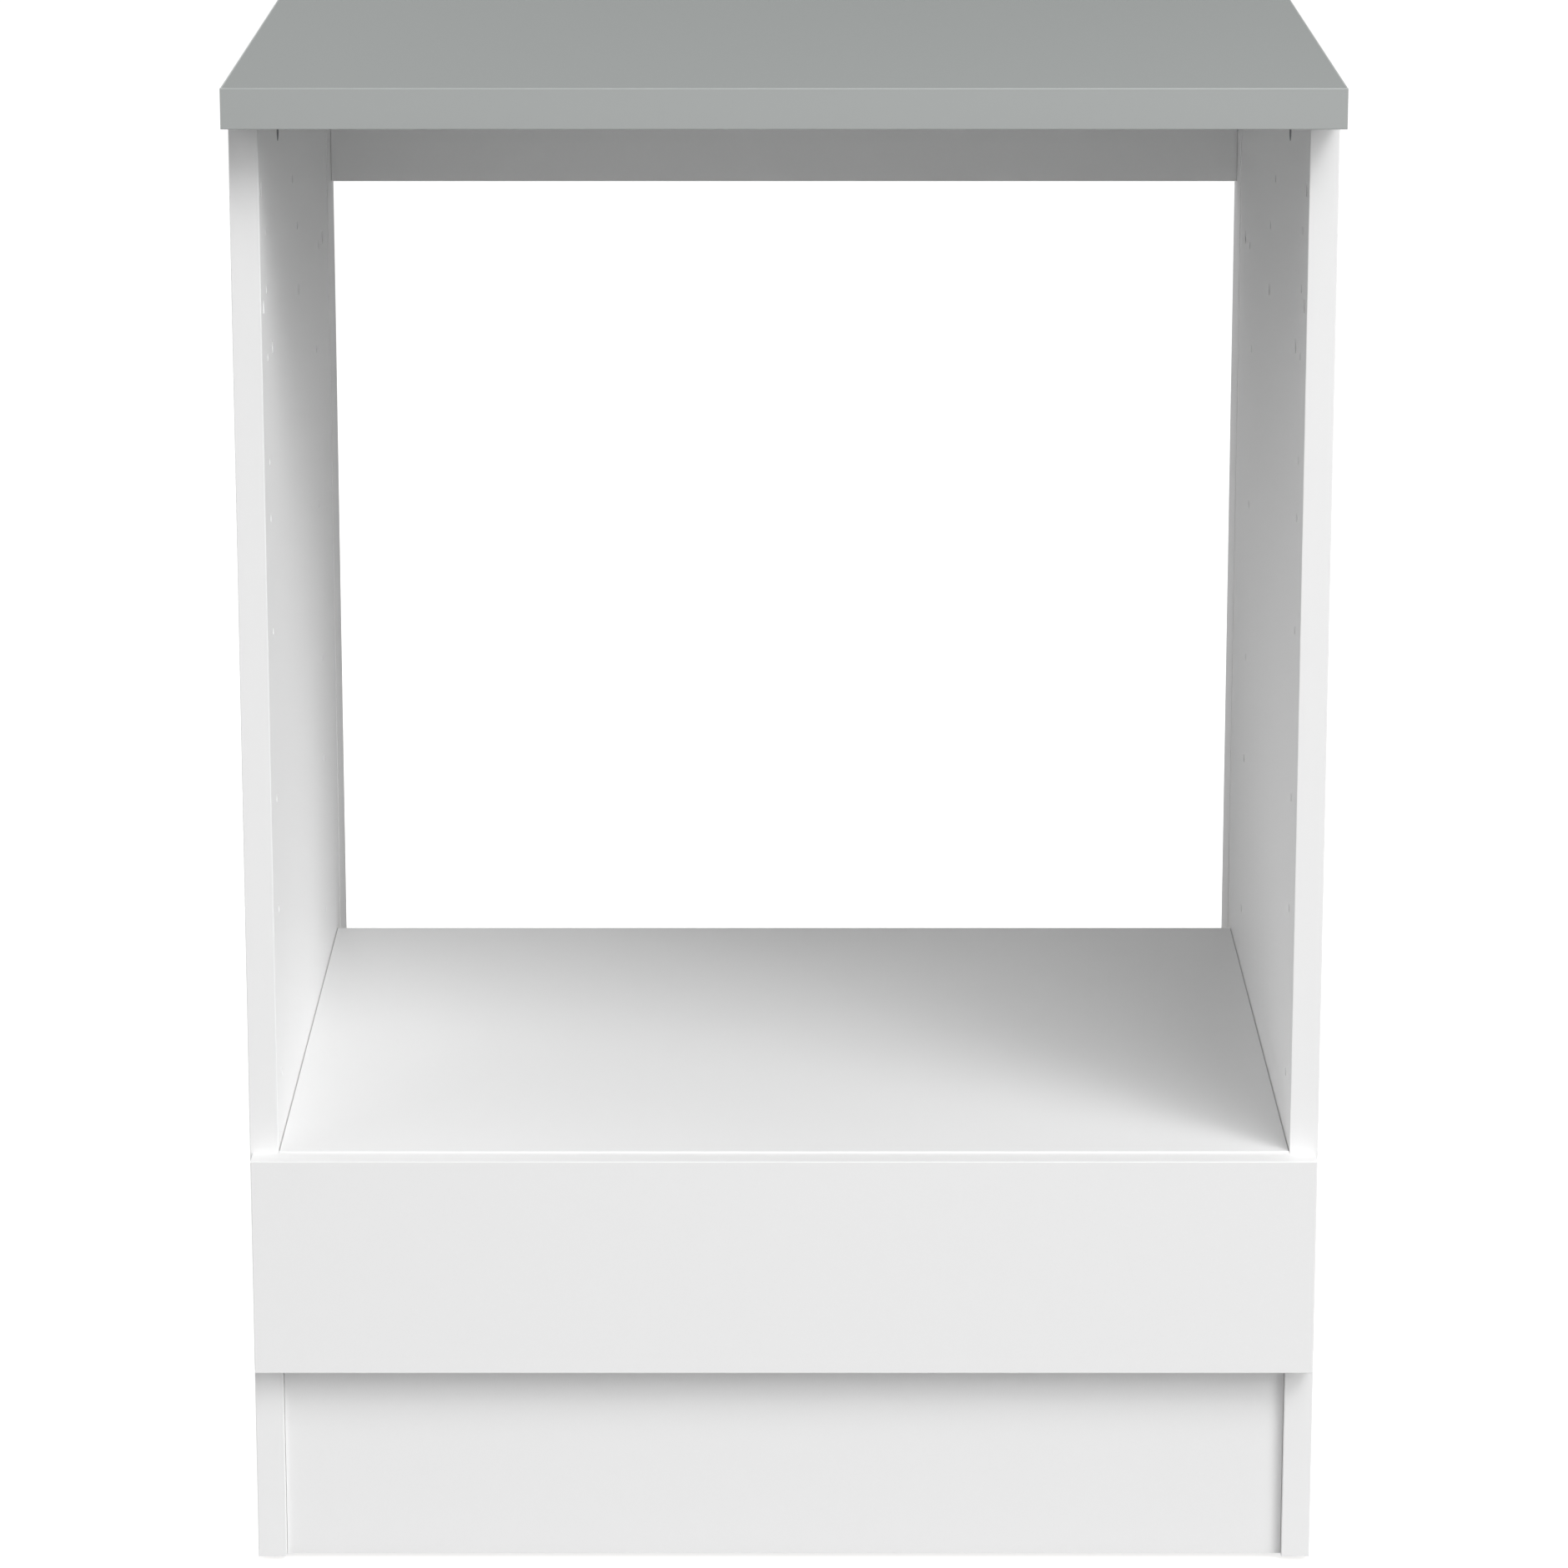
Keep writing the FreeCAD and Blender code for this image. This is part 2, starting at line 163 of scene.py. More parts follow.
def outer_faces(tree, place, low, high, depth):
    """One mask for each axis: 1 this near to the two faces across it of a board's box, 0 elsewhere."""
    axes = add(tree, "ShaderNodeSeparateXYZ", {"Vector": place})
    masks = []
    for axis in range(3):
        middle = (low[axis] + high[axis]) / 2
        reach = (high[axis] - low[axis]) / 2 - depth
        offset = add(tree, "ShaderNodeMath", {0: axes.outputs[axis], 1: middle}, operation="SUBTRACT")
        distance = add(tree, "ShaderNodeMath", {0: offset.outputs[0]}, operation="ABSOLUTE")
        mask = add(tree, "ShaderNodeMath", {0: distance.outputs[0], 1: reach}, operation="GREATER_THAN")
        masks.append(mask.outputs[0])
    return masks


def coated_board(node_name, finish_name, finish, painted_joint_shade=None):
    """Chipboard with a skin on both broad faces of a solid, and a painted line of shade at its ends if a
    grey is given.
    """
    low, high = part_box(node_name)
    thin = min(range(3), key=lambda axis: high[axis] - low[axis])
    material, tree, shader = new_finish(finish_name + "_" + node_name)
    place = add(tree, "ShaderNodeTexCoord").outputs["Object"]
    faces = outer_faces(tree, place, low, high, SKIN)
    skin = faces.pop(thin)
    rim = add(tree, "ShaderNodeMath", {0: faces[0], 1: faces[1]}, operation="MAXIMUM").outputs[0]
    sawn = add(tree, "ShaderNodeMath", {0: rim, 1: skin}, operation="SUBTRACT", use_clamp=True).outputs[0]

    chip_colour, chip_height = chip_core(tree, place)
    grain = add(tree, "ShaderNodeTexNoise", {
        "Vector": place, "Scale": 1 / finish["grain"], "Detail": 3.0})
    darker, lighter = finish["tones"]
    tone = add(tree, "ShaderNodeMix", {
        MIX_BY: grain.outputs["Fac"], COLOUR_A: linear(darker), COLOUR_B: linear(lighter)},
        data_type="RGBA")
    # A painted line of shade along both ends of the shelf.
    if painted_joint_shade:
        ends = outer_faces(tree, place, low, high, JOINT_LINE)[0]
        tone = add(tree, "ShaderNodeMix", {
            MIX_BY: ends, COLOUR_A: tone.outputs[MIXED_COLOUR], COLOUR_B: linear(painted_joint_shade)},
            data_type="RGBA")
    # The walls take the pure white of painted light, and the broad faces take the skin's tone.
    coat = add(tree, "ShaderNodeMix", {
        MIX_BY: skin, COLOUR_A: linear(HOLE_WALL_PAINTED_LIGHT), COLOUR_B: tone.outputs[MIXED_COLOUR]},
        data_type="RGBA")
    colour = add(tree, "ShaderNodeMix", {
        MIX_BY: sawn, COLOUR_A: coat.outputs[MIXED_COLOUR], COLOUR_B: chip_colour},
        data_type="RGBA")
    gloss = add(tree, "ShaderNodeMapRange", {
        "Value": skin, "To Min": CHIP_ROUGHNESS, "To Max": finish["roughness"]})

    chip_bump = add(tree, "ShaderNodeMath", {0: chip_height, 1: -CHIP_RELIEF}, operation="MULTIPLY")
    skin_bump = add(tree, "ShaderNodeMath", {
        0: grain.outputs["Fac"], 1: finish["relief"]}, operation="MULTIPLY")
    height = add(tree, "ShaderNodeMix", {
        MIX_BY: sawn, VALUE_A: skin_bump.outputs[0], VALUE_B: chip_bump.outputs[0]})
    bump = add(tree, "ShaderNodeBump", {"Height": height.outputs[MIXED_VALUE], "Distance": 1.0})
    tree.links.new(colour.outputs[MIXED_COLOUR], shader.inputs["Base Color"])
    tree.links.new(gloss.outputs[0], shader.inputs["Roughness"])
    tree.links.new(bump.outputs[0], shader.inputs["Normal"])
    shader.inputs["IOR"].default_value = MELAMINE_IOR
    shader.inputs["Specular IOR Level"].default_value = finish["shine"]
    dress(node_name, material)


for board in WHITE_BOARDS:
    coated_board(board, "white_melamine", MELAMINE, JOINT_SHADE_GREY if board == "oven_shelf" else None)
print("melamine boards:", len(WHITE_BOARDS))

# %% [markdown]
# ## Grey worktop
# The worktop is a thicker chipboard with a grey laminate on its upper and lower faces.
# Its press plate has a coarser grain than the melamine's, so it stays matt and hides fingerprints.
# The same recipe serves, with other colours and a larger grain. Its grey is a little darker than
# the grey edging's: painted shade on the top, which the lamps light more than the edge.

# %% Grey laminate
# Darker than the grey edging: painted shade on the worktop's top.
LAMINATE_WITH_PAINTED_SHADE = {"tones": ("929594", "979A99"), "roughness": 0.6, "shine": 0.04,
            "grain": 1.1 * MM, "relief": 0.008 * MM}
coated_board("worktop", "grey_laminate_painted_shade", LAMINATE_WITH_PAINTED_SHADE)

# %% [markdown]
# ## Plastic edging
# Every edge that shows carries a strip of ABS, glued on hot, trimmed flush and buffed.
# ABS is coloured right through, a little glossier than the paper beside it, with faint waves along
# the strip where the roller pressed it on. The buffing is finer than the waves and changes the gloss.

# %% ABS edging in both colours
ABS_IOR = 1.53
ROLLER_WAVE = 9.0 * MM
ROLLER_RELIEF = 0.02 * MM
BUFFING = 0.5 * MM
BUFFING_SPREAD = 0.05


def abs_plastic(finish_name, hex_colour, roughness):
    """Dyed ABS with faint waves from its making, and an uneven gloss."""
    material, tree, shader = new_finish(finish_name)
    place = add(tree, "ShaderNodeTexCoord").outputs["Object"]
    waves = add(tree, "ShaderNodeTexNoise", {"Vector": place, "Scale": 1 / ROLLER_WAVE, "Detail": 2.0})
    buffing = add(tree, "ShaderNodeTexNoise", {"Vector": place, "Scale": 1 / BUFFING, "Detail": 2.0})
    gloss = add(tree, "ShaderNodeMapRange", {
        "Value": buffing.outputs["Fac"],
        "To Min": roughness - BUFFING_SPREAD, "To Max": roughness + BUFFING_SPREAD})
    height = add(tree, "ShaderNodeMath", {
        0: waves.outputs["Fac"], 1: ROLLER_RELIEF}, operation="MULTIPLY")
    bump = add(tree, "ShaderNodeBump", {"Height": height.outputs[0], "Distance": 1.0})
    shader.inputs["Base Color"].default_value = linear(hex_colour)
    shader.inputs["IOR"].default_value = ABS_IOR
    tree.links.new(gloss.outputs[0], shader.inputs["Roughness"])
    tree.links.new(bump.outputs[0], shader.inputs["Normal"])
    return material


white_abs = abs_plastic("white_abs", "F3F3F3", roughness=0.38)
grey_abs = abs_plastic("grey_abs", "A7AAA9", roughness=0.42)
edging_strips = [name for name in nodes if name.endswith("_edging")]
for name in edging_strips:
    dress(name, grey_abs if name.startswith("worktop") else white_abs)
print("edging strips:", len(edging_strips))

# %% [markdown]
# ## Fasteners
# The cams are die-cast zinc: grey, dull and slightly grainy from the mould.
# The bolts are turned steel with a bright zinc plating, the dowels are beech, and the glides are
# moulded from the same kind of plastic as the edging.

# %% Zinc, steel, beech and plastic
METAL_SPREAD = 0.1
BEECH_FLECK = 1.2 * MM
BEECH_TONES = ("B98F63", "E0BF95")
BEECH_ROUGHNESS = 0.6


def metal(finish_name, hex_colour, roughness, grain, relief):
    """Bare metal with a fine grain from its mould or its cutting tool."""
    material, tree, shader = new_finish(finish_name)
    place = add(tree, "ShaderNodeTexCoord").outputs["Object"]
    noise = add(tree, "ShaderNodeTexNoise", {"Vector": place, "Scale": 1 / grain, "Detail": 4.0})
    gloss = add(tree, "ShaderNodeMapRange", {
        "Value": noise.outputs["Fac"],
        "To Min": roughness - METAL_SPREAD, "To Max": roughness + METAL_SPREAD})
    height = add(tree, "ShaderNodeMath", {0: noise.outputs["Fac"], 1: relief}, operation="MULTIPLY")
    bump = add(tree, "ShaderNodeBump", {"Height": height.outputs[0], "Distance": 1.0})
    shader.inputs["Base Color"].default_value = linear(hex_colour)
    shader.inputs["Metallic"].default_value = 1.0
    tree.links.new(gloss.outputs[0], shader.inputs["Roughness"])
    tree.links.new(bump.outputs[0], shader.inputs["Normal"])
    return material


def beech(finish_name):
    """Turned beech: pale pinkish wood with short dark flecks."""
    material, tree, shader = new_finish(finish_name)
    place = add(tree, "ShaderNodeTexCoord").outputs["Object"]
    flecks = add(tree, "ShaderNodeTexNoise", {"Vector": place, "Scale": 1 / BEECH_FLECK, "Detail": 5.0})
    ramp = add(tree, "ShaderNodeValToRGB", {"Fac": flecks.outputs["Fac"]})
    for element, hex_colour in zip(ramp.color_ramp.elements, BEECH_TONES):
        element.color = linear(hex_colour)
    tree.links.new(ramp.outputs["Color"], shader.inputs["Base Color"])
    shader.inputs["Roughness"].default_value = BEECH_ROUGHNESS
    return material


zinc = metal("die_cast_zinc", "77787A", roughness=0.48, grain=0.4 * MM, relief=0.01 * MM)
plated_steel = metal("zinc_plated_steel", "C4C5C3", roughness=0.3, grain=0.3 * MM, relief=0.004 * MM)
beech_wood = beech("beech_dowel_wood")
glide_plastic = abs_plastic("moulded_glide", "DEDEDA", roughness=0.5)
for name in nodes:
    if "_cam" in name and not name.endswith("_bolts"):
        dress(name, zinc)
print("finishes:", len(bpy.data.materials))

# %% [markdown]
# ## Finding the small solids
# One node can hold several bolts or dowels, and we want a better mesh at the place of each.
# A copy of the node, merged and split into its loose parts, gives the corner points of every solid.
# The longest side of a solid's box is its axis, and the wider end of a bolt is its head.

# %% Where each fastener lies
MERGE_DISTANCE = 0.01 * MM


def solids_of(node_name):
    """The corner points of each separate solid in a node."""
    bpy.ops.object.select_all(action="DESELECT")
    copy = nodes[node_name].copy()
    copy.data = nodes[node_name].data.copy()
    bpy.context.collection.objects.link(copy)
    copy.select_set(True)
    bpy.context.view_layer.objects.active = copy
    bpy.ops.object.mode_set(mode="EDIT")
    bpy.ops.mesh.select_all(action="SELECT")
    bpy.ops.mesh.remove_doubles(threshold=MERGE_DISTANCE)
    bpy.ops.mesh.separate(type="LOOSE")
    bpy.ops.object.mode_set(mode="OBJECT")
    loose = list(bpy.context.selected_objects)
    points = [[vertex.co.copy() for vertex in piece.data.vertices] for piece in loose]
    for piece in loose:
        bpy.data.objects.remove(piece)
    return points


def tail_and_axis(points):
    """The narrow end of a solid, as a point on its axis, and the direction from there to its wide end."""
    low = Vector(min(p[i] for p in points) for i in range(3))
    high = Vector(max(p[i] for p in points) for i in range(3))
    middle = (low + high) / 2
    along = max(range(3), key=lambda i: high[i] - low[i])
    widest = max(points, key=lambda p: sum((p[i] - middle[i]) ** 2 for i in range(3) if i != along))
    sign = 1 if widest[along] > middle[along] else -1
    axis = Vector(sign if i == along else 0 for i in range(3))
    return middle - axis * (high[along] - low[along]) / 2, axis


fastener_groups = [name for name in nodes if name.endswith(("_bolts", "_dowels"))] + ["floor_glides"]
fastener_places = {
    name: [tail_and_axis(points) for points in solids_of(name)] for name in fastener_groups}
print({name: len(places) for name, places in fastener_places.items()})

# %% [markdown]
# ## Tools for modelling by hand
# A new piece starts as a primitive and is shaped in edit mode, on faces that are picked by their place
# or by the way they face. When it is done, copies of it are laid at the places just found, and joined
# into one piece for each node.

# %% Pick, turn and lay out
FACING = 0.99
SMOOTH_ANGLE = math.radians(35)


def start_edit(piece):
    """Open one piece in edit mode with nothing picked."""
    bpy.context.view_layer.objects.active = piece
    bpy.ops.object.mode_set(mode="EDIT")
    bpy.ops.mesh.select_mode(type="FACE")
    bpy.ops.mesh.select_all(action="DESELECT")


def pick_faces(piece, test):
    """Pick the faces whose centre and normal pass a test, and stay in edit mode."""
    start_edit(piece)
    bpy.ops.object.mode_set(mode="OBJECT")
    for face in piece.data.polygons:
        face.select = test(face.center, face.normal)
    bpy.ops.object.mode_set(mode="EDIT")


def turned(name, rings, sides):
    """A turned piece: a disc that is extruded and scaled from ring to ring of (radius, height)."""
    bpy.ops.object.select_all(action="DESELECT")
    first_radius, first_height = rings[0]
    bpy.ops.mesh.primitive_circle_add(
        vertices=sides, radius=first_radius, fill_type="NGON", location=(0, 0, first_height))
    piece = bpy.context.object
    piece.name = name
    bpy.ops.object.transform_apply(location=True)
    bpy.ops.object.mode_set(mode="EDIT")
    for (radius, height), (next_radius, next_height) in zip(rings, rings[1:]):
        rise = (0, 0, next_height - height)
        bpy.ops.mesh.extrude_region_move(TRANSFORM_OT_translate={"value": rise})
        ratio = next_radius / radius
        bpy.ops.transform.resize(value=(ratio, ratio, 1))
    bpy.ops.mesh.select_all(action="SELECT")
    bpy.ops.mesh.normals_make_consistent(inside=False)
    bpy.ops.object.mode_set(mode="OBJECT")
    return piece


def lay_out(pattern, node_name, piece_name, material):
    """Copies of a pattern at each solid of a node, joined into one piece that stands for the node."""
    bpy.ops.object.select_all(action="DESELECT")
    for tail, axis in fastener_places[node_name]:
        copy = pattern.copy()
        copy.data = pattern.data.copy()
        bpy.context.collection.objects.link(copy)
        copy.location = tail
        copy.rotation_euler = axis.to_track_quat("Z", "Y").to_euler()
        copy.select_set(True)
        bpy.context.view_layer.objects.active = copy
    bpy.ops.object.transform_apply(location=True, rotation=True)
    bpy.ops.object.join()
    piece = bpy.context.object
    piece.name = piece_name
    piece.data.materials.clear()
    piece.data.materials.append(material)
    bpy.ops.object.shade_smooth_by_angle(angle=SMOOTH_ANGLE)
    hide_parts(node_name)
    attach(piece, "cabinet")
    return piece


print("modelling tools ready")

# %% [markdown]
# ## Connecting bolts
# A connecting bolt is turned from steel: a coarse thread that bites into the board, a collar that
# stops at its face, a thin neck, and a cone-backed head that the cam pulls on.
# The plain part is a turned profile. The thread is a small triangle that a Screw modifier winds up the
# shank, turned half a step so that no edge of it meets an edge of the shank, and a Boolean modifier
# makes the two one solid.

# %% Bolts with their threads
BOLT_LENGTH = 34.8 * MM
THREAD_LENGTH = 11.0 * MM
THREAD_PITCH = 2.2 * MM
THREAD_TURNS = 4
THREAD_CORE = 1.9 * MM
THREAD_CREST = 2.75 * MM
COLLAR_RADIUS = 3.4 * MM
COLLAR_LENGTH = 1.2 * MM
NECK_RADIUS = 2.1 * MM
HEAD_RADIUS = 3.5 * MM
HEAD_LENGTH = 3.1 * MM
EASING = 0.6 * MM
BOLT_SIDES = 32


def bolt_shank():
    """The turned profile of a bolt, tail at zero and head up."""
    head_start = BOLT_LENGTH - HEAD_LENGTH
    return turned("bolt_pattern", [
        (THREAD_CORE / 2, 0),
        (THREAD_CORE, THREAD_CORE / 2),
        (THREAD_CORE, THREAD_LENGTH),
        (COLLAR_RADIUS, THREAD_LENGTH),
        (COLLAR_RADIUS, THREAD_LENGTH + COLLAR_LENGTH),
        (NECK_RADIUS, THREAD_LENGTH + COLLAR_LENGTH),
        (NECK_RADIUS, head_start),
        (HEAD_RADIUS, head_start + HEAD_RADIUS - NECK_RADIUS),
        (HEAD_RADIUS, BOLT_LENGTH - EASING),
        (HEAD_RADIUS - EASING, BOLT_LENGTH),
    ], BOLT_SIDES)


def thread_ridge():
    """A three-sided ridge, crest outwards, that winds up round the shank, with both ends closed."""
    bpy.ops.object.select_all(action="DESELECT")
    quarter = math.pi / 2
    bpy.ops.mesh.primitive_circle_add(
        vertices=3, radius=THREAD_CREST - THREAD_CORE, rotation=(quarter, quarter, 0),
        location=(THREAD_CORE, 0, THREAD_PITCH / 2))
    ridge = bpy.context.object
    bpy.ops.object.transform_apply(location=True, rotation=True)
    screw = ridge.modifiers.new("wind", "SCREW")
    screw.steps = BOLT_SIDES
    screw.render_steps = BOLT_SIDES
    screw.screw_offset = THREAD_PITCH
    screw.iterations = THREAD_TURNS
    screw.use_merge_vertices = False
    bpy.ops.object.modifier_apply(modifier=screw.name)
    bpy.ops.object.mode_set(mode="EDIT")
    bpy.ops.mesh.select_all(action="SELECT")
    bpy.ops.mesh.fill_holes(sides=4)
    bpy.ops.mesh.select_all(action="SELECT")
    bpy.ops.mesh.normals_make_consistent(inside=False)
    bpy.ops.object.mode_set(mode="OBJECT")
    ridge.rotation_euler = (0, 0, math.pi / BOLT_SIDES)
    bpy.ops.object.transform_apply(rotation=True)
    return ridge


bolt_pattern = bolt_shank()
ridge = thread_ridge()
bpy.ops.object.select_all(action="DESELECT")
bpy.context.view_layer.objects.active = bolt_pattern
union = bolt_pattern.modifiers.new("one_solid", "BOOLEAN")
union.operation = "UNION"
union.object = ridge
bpy.ops.object.modifier_apply(modifier=union.name)
bpy.data.objects.remove(ridge)
for name in fastener_groups:
    if name.endswith("_bolts"):
        bolts = name.replace("_cam_bolts", "_connecting_bolts")
        lay_out(bolt_pattern, name, bolts, plated_steel)
print("faces on one bolt:", len(bolt_pattern.data.polygons))
bpy.data.objects.remove(bolt_pattern)

# %% [markdown]
# ## Dowels
# A beech dowel is pressed through a fluted die, so that glue and air can pass along its grooves.
# The ends are bevelled first, and then every second face of the shaft is inset and pushed in to make
# a flute.

# %% Fluted dowels
DOWEL_RADIUS = 3.9 * MM
DOWEL_LENGTH = 30.0 * MM
DOWEL_FLUTES = 20
FLUTE_DEPTH = 0.3 * MM
FLUTE_EDGE = 0.08 * MM
DOWEL_BEVEL = 1.0 * MM


def is_end(centre, normal):
    """The two ends of the shaft."""
    return abs(normal.z) > FACING


def is_flute(centre, normal):
    """Every second long face of the shaft."""
    turn = math.atan2(normal.y, normal.x) / math.pi * DOWEL_FLUTES
    return abs(normal.z) < 1 - FACING and math.floor(turn) % 2 == 0


bpy.ops.object.select_all(action="DESELECT")
bpy.ops.mesh.primitive_cylinder_add(
    vertices=2 * DOWEL_FLUTES, radius=DOWEL_RADIUS, depth=DOWEL_LENGTH, location=(0, 0, DOWEL_LENGTH / 2))
dowel_pattern = bpy.context.object
bpy.ops.object.transform_apply(location=True)
pick_faces(dowel_pattern, is_end)
bpy.ops.mesh.bevel(offset=DOWEL_BEVEL, segments=2, affect="EDGES")
pick_faces(dowel_pattern, is_flute)
bpy.ops.mesh.inset(thickness=FLUTE_EDGE, depth=-FLUTE_DEPTH, use_individual=True)
bpy.ops.object.mode_set(mode="OBJECT")
for name in fastener_groups:
    if name.endswith("_dowels"):
        dowels = name.replace("_dowels", "_fluted_dowels")
        lay_out(dowel_pattern, name, dowels, beech_wood)
print("faces on one dowel:", len(dowel_pattern.data.polygons))
bpy.data.objects.remove(dowel_pattern)

# %% [markdown]
# ## Floor glides
# Each side stands on two glides: a small plastic foot moulded round the head of a nail, hammered into
# the board. The nail is turned like the bolts, with its point first, and ends in the foot.
# The foot is a turned disc with its floor edge rounded by a bevel, and a shallow dish where the mould's
# gate was.

# %% Nails and moulded feet
NAIL_RADIUS = 1.2 * MM
NAIL_LENGTH = 16.0 * MM
NAIL_POINT = 3.0 * MM
NAIL_TIP_RADIUS = 0.15 * MM
FOOT_RADIUS = 7.0 * MM
FOOT_HEIGHT = 3.0 * MM
FOOT_ROUNDING = 1.2 * MM
DISH_RIM = 1.6 * MM
DISH_DEPTH = 0.3 * MM
FOOT_SIDES = 48


def lower_face(centre, normal):
    """The face of a foot that meets the floor."""
    return normal.z > FACING and centre.z > NAIL_LENGTH + FOOT_HEIGHT / 2


nail_pattern = turned("nail_pattern", [
    (NAIL_TIP_RADIUS, 0), (NAIL_RADIUS, NAIL_POINT), (NAIL_RADIUS, NAIL_LENGTH)], BOLT_SIDES)
foot_pattern = turned("foot_pattern", [
    (FOOT_RADIUS, NAIL_LENGTH), (FOOT_RADIUS, NAIL_LENGTH + FOOT_HEIGHT)], FOOT_SIDES)
pick_faces(foot_pattern, lower_face)
bpy.ops.mesh.bevel(offset=FOOT_ROUNDING, segments=4, affect="EDGES")
pick_faces(foot_pattern, lower_face)
bpy.ops.mesh.inset(thickness=DISH_RIM)
bpy.ops.mesh.inset(thickness=DISH_DEPTH, depth=-DISH_DEPTH)
bpy.ops.object.mode_set(mode="OBJECT")
lay_out(nail_pattern, "floor_glides", "glide_nails", plated_steel)
glide_feet = lay_out(foot_pattern, "floor_glides", "glide_feet", glide_plastic)
for pattern in (nail_pattern, foot_pattern):
    bpy.data.objects.remove(pattern)
lowest = min(vertex.co.z for vertex in glide_feet.data.vertices)
print("lowest point of the feet:", round(lowest / MM, 3), "mm")

# %% [markdown]
# ## The studio
# A product picture on white needs a floor that is as bright as the background, so that the two melt
# together. The floor is a large sheet of paper. To the cabinet it is grey, and throws back only half of
# the light, so that inner corners, where one white board lights the next, glow a little brighter than
# the boards. To the camera it glows white, as an overexposed sweep does, and only a faint shadow is left
# under the cabinet.

# %% Floor and background
FLOOR_REACH = 40.0
FLOOR_GLOW = 0.8
ROOM_LIGHT = 0.076
PAPER_GREY = "BABABA"
SWEEP_GREY = "B4B4B4"

bpy.ops.object.select_all(action="DESELECT")
bpy.ops.mesh.primitive_plane_add(size=2 * FLOOR_REACH, location=(0, 0, 0))
floor = bpy.context.object
floor.name = "studio_floor"
paper, paper_tree, paper_shader = new_finish("studio_paper")
paper_shader.inputs["Base Color"].default_value = linear(PAPER_GREY)
paper_shader.inputs["Roughness"].default_value = 1.0
paper_shader.inputs["Specular IOR Level"].default_value = 0.0
shadow_tone = add(paper_tree, "ShaderNodeBsdfDiffuse", {"Color": linear(SWEEP_GREY)})
glow = add(paper_tree, "ShaderNodeEmission", {"Color": linear("FFFFFF"), "Strength": FLOOR_GLOW})
sweep = add(paper_tree, "ShaderNodeAddShader", {0: shadow_tone.outputs[0], 1: glow.outputs[0]})
seen = add(paper_tree, "ShaderNodeLightPath").outputs["Is Camera Ray"]
sheet = add(paper_tree, "ShaderNodeMixShader", {0: seen, 1: paper_shader.outputs[0], 2: sweep.outputs[0]})
paper_tree.links.new(sheet.outputs[0], paper_tree.nodes["Material Output"].inputs["Surface"])
floor.data.materials.append(paper)

world = bpy.data.worlds.new("studio")
bpy.context.scene.world = world
world.use_nodes = True
sky = world.node_tree
sky.nodes.clear()
room = add(sky, "ShaderNodeBackground", {"Color": linear("FFFFFF"), "Strength": ROOM_LIGHT})
backdrop = add(sky, "ShaderNodeBackground", {"Color": linear("FFFFFF"), "Strength": 1.0})
seen = add(sky, "ShaderNodeLightPath").outputs["Is Camera Ray"]
shown = add(sky, "ShaderNodeMixShader", {0: seen, 1: room.outputs[0], 2: backdrop.outputs[0]})
add(sky, "ShaderNodeOutputWorld", {"Surface": shown.outputs[0]})
bpy.context.scene.view_settings.view_transform = "Standard"
print("floor:", 2 * FLOOR_REACH, "m across")

# %% [markdown]
# ## Lamps
# The picture's shadows tell where the lights stand. The key light comes from the front right and is
# not very high. Its shadow is sharper at the foot of the sides and soft further in, so it is made of
# three lamps: a strong low one, and two weaker ones higher up.
# A wide fill from the left opens the shadows, and a light behind reaches in through the open back.
# Sun lamps with a wide angle light the floor evenly to the horizon. The softboxes are area lamps, because
# they stand near: two at the front and above, one behind the left corner, and a small one that keeps the
# left side white. Every lamp is placed by its turn from the front and its height, both in degrees.

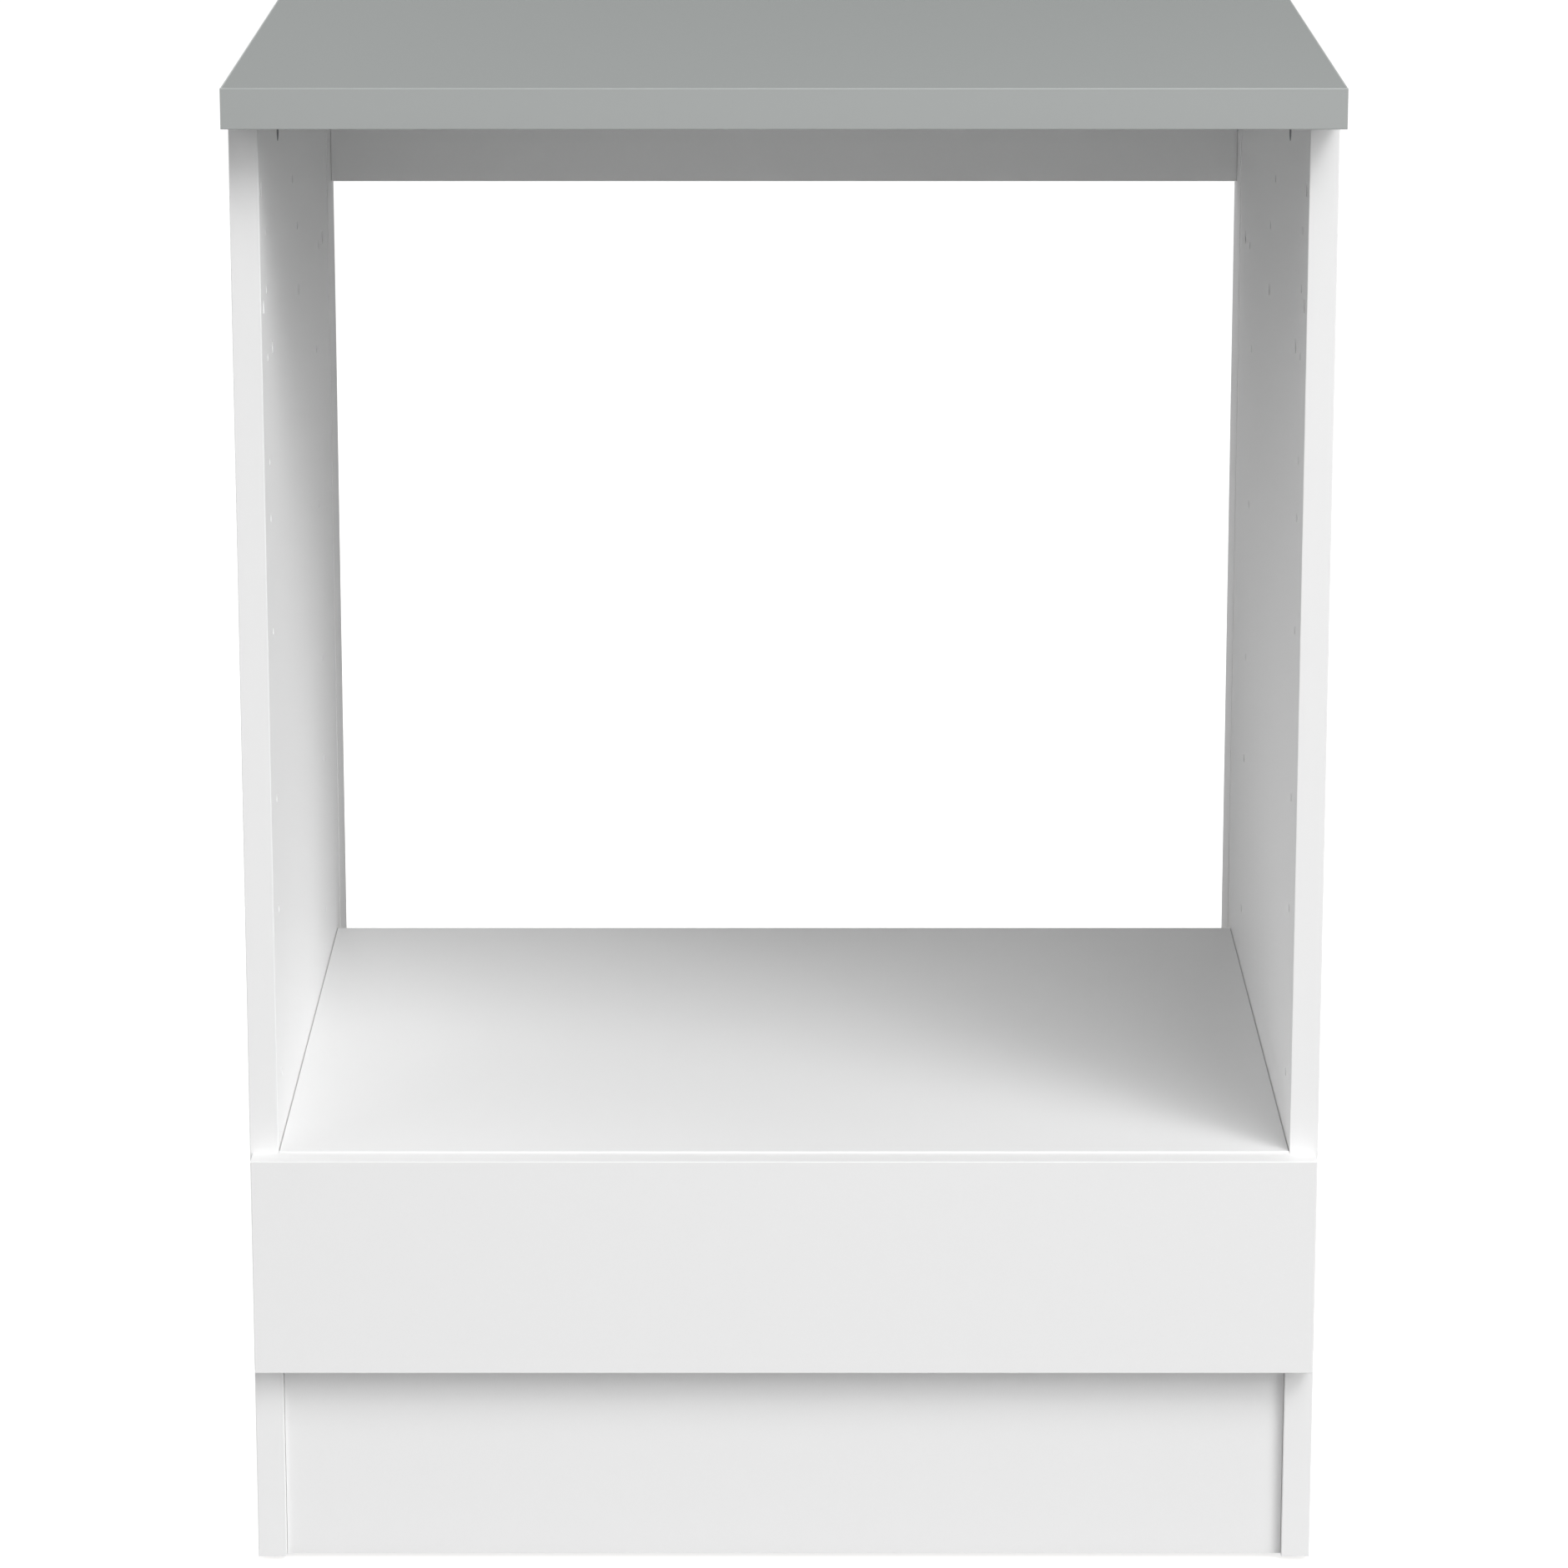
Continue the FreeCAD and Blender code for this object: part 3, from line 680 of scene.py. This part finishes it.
# %% Key, fill and rear lights, and softboxes
SUNS = {
    "low_key_light": {"turn": 50, "height": 20, "width": 30, "strength": 1.257},
    "key_light": {"turn": 22, "height": 38, "width": 25, "strength": 0.430},
    "high_key_light": {"turn": 41, "height": 48, "width": 20, "strength": 0.585},
    "left_fill": {"turn": -60, "height": 30, "width": 50, "strength": 0.718},
    "rear_right_light": {"turn": 150, "height": 25, "width": 50, "strength": 0.463},
}
SOFTBOXES = {
    "front_softbox": {"turn": 28, "height": 42, "away": 2.6, "size": 1.0, "power": 14.6},
    "overhead_softbox": {"turn": 40, "height": 75, "away": 2.4, "size": 1.2, "power": 14.0},
    "rear_left_softbox": {"turn": -150, "height": 25, "away": 3.0, "size": 2.5, "power": 21.1},
    "left_softbox": {"turn": -98, "height": 1, "away": 2.2, "size": 0.5, "power": 10.1},
}
SOFTBOX_TARGET = Vector((0, 0, 0.5))


def aim(obj, direction):
    """Turn a lamp or a camera so that it looks along a direction."""
    obj.rotation_euler = Vector(direction).to_track_quat("-Z", "Y").to_euler()


def beam(lamp):
    """The direction in which the light of a lamp falls, from its turn and height in degrees."""
    turn = math.radians(lamp["turn"])
    height = math.radians(lamp["height"])
    level = math.cos(height)
    return Vector((-level * math.sin(turn), level * math.cos(turn), -math.sin(height)))


def hang_lamp(name, kind, power):
    """A new lamp of a kind and power."""
    lamp = bpy.data.objects.new(name, bpy.data.lights.new(name, kind))
    lamp.data.energy = power
    bpy.context.scene.collection.objects.link(lamp)
    return lamp


for name, sun in SUNS.items():
    lamp = hang_lamp(name, "SUN", sun["strength"])
    lamp.data.angle = math.radians(sun["width"])
    aim(lamp, beam(sun))
for name, box in SOFTBOXES.items():
    lamp = hang_lamp(name, "AREA", box["power"])
    lamp.data.size = box["size"]
    lamp.location = SOFTBOX_TARGET - beam(box) * box["away"]
    aim(lamp, beam(box))
print("lamps:", len(SUNS) + len(SOFTBOXES))

# %% [markdown]
# ## Camera
# The picture looks at the front from straight ahead, from almost half a metre above the worktop and
# some three and a half metres away. A long lens keeps the sides almost upright.

# %% Camera in front of the cabinet
CAMERA_BACK = 3.599
CAMERA_HEIGHT = 1.2959
CAMERA_PITCH = math.radians(14.073)
CAMERA_LENS = 142.94
SENSOR_WIDTH = 36.0
FARTHEST_SEEN = 200.0

camera_data = bpy.data.cameras.new("camera")
camera_data.lens = CAMERA_LENS
camera_data.sensor_width = SENSOR_WIDTH
camera_data.clip_end = FARTHEST_SEEN
camera = bpy.data.objects.new("camera", camera_data)
bpy.context.scene.collection.objects.link(camera)
camera.location = (0, -CAMERA_BACK, CAMERA_HEIGHT)
aim(camera, (0, math.cos(CAMERA_PITCH), -math.sin(CAMERA_PITCH)))
bpy.context.scene.camera = camera
print("camera:", [round(v, 2) for v in camera.location], "lens", CAMERA_LENS, "mm")
